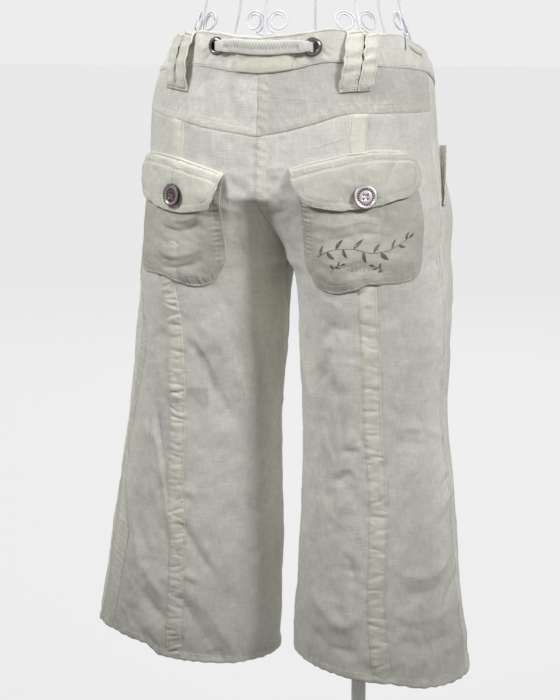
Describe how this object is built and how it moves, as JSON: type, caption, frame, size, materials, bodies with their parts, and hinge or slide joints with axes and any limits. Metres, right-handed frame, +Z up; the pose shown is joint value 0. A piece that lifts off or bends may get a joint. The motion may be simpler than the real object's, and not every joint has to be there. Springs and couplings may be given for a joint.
{
  "type": "capri pants on a wire dress form",
  "caption": "Wide-leg linen capri pants with flap pockets, belt loops and a laced back tie, filled out on a scroll-wire dress form with a pole and round base.",
  "frame": {"origin": "on the ground under the middle of the garment, on the underside of the round base", "axes": "+Z up; -Y out of the garment's front; +X towards the garment's own left side"},
  "size_m": [0.4807, 0.33, 1.477],
  "materials": {
    "linen_offwhite": "washed plain-weave linen, off-white",
    "linen_cream": "washed linen, a little creamier, for trims, pockets and loops",
    "eyelet_metal": "antiqued gunmetal eyelet",
    "button_metal": "antiqued metal button",
    "form_wire_white": "white powder-coated wire",
    "stand_paint_white": "white satin paint"
  },
  "bodies": {
    "root": {"back_label": "linen_cream", "back_leg_left": "linen_offwhite", "back_leg_right": "linen_offwhite", "back_pocket_left": "linen_cream", "back_pocket_right": "linen_cream", "back_strip_left": "linen_cream", "back_strip_right": "linen_cream", "back_tie": "linen_cream", "belt_loop_back_left_inner": "linen_cream", "belt_loop_back_left_outer": "linen_cream", "belt_loop_back_right_inner": "linen_cream", "belt_loop_back_right_outer": "linen_cream", "belt_loop_front_left": "linen_cream", "belt_loop_front_right": "linen_cream", "eyelet_left": "eyelet_metal", "eyelet_right": "eyelet_metal", "flap_button_left": "button_metal", "flap_button_right": "button_metal", "fly_placket": "linen_offwhite", "form_bar_high_back": "form_wire_white", "form_bar_high_front": "form_wire_white", "form_bar_low_back": "form_wire_white", "form_bar_low_front": "form_wire_white", "form_cap": "stand_paint_white", "form_hoop_bust": "form_wire_white", "form_hoop_highhip": "form_wire_white", "form_hoop_hip": "form_wire_white", "form_hoop_neck": "form_wire_white", "form_hoop_waist": "form_wire_white", "form_rib_1": "form_wire_white", "form_rib_2": "form_wire_white", "form_rib_3": "form_wire_white", "form_rib_4": "form_wire_white", "form_rib_5": "form_wire_white", "form_rib_6": "form_wire_white", "form_rib_7": "form_wire_white", "form_rib_8": "form_wire_white", "form_scroll_1": "form_wire_white", "form_scroll_2": "form_wire_white", "form_scroll_3": "form_wire_white", "form_scroll_4": "form_wire_white", "form_scroll_5": "form_wire_white", "front_leg_left": "linen_offwhite", "front_leg_right": "linen_offwhite", "pocket_flap_left": "linen_cream", "pocket_flap_right": "linen_cream", "side_pocket_welt_left": "linen_offwhite", "side_pocket_welt_right": "linen_offwhite", "stand_base": "stand_paint_white", "stand_pole": "stand_paint_white", "waist_button": "button_metal", "waistband": "linen_offwhite", "yoke_left": "linen_offwhite", "yoke_right": "linen_offwhite"}
  },
  "joints": []
}
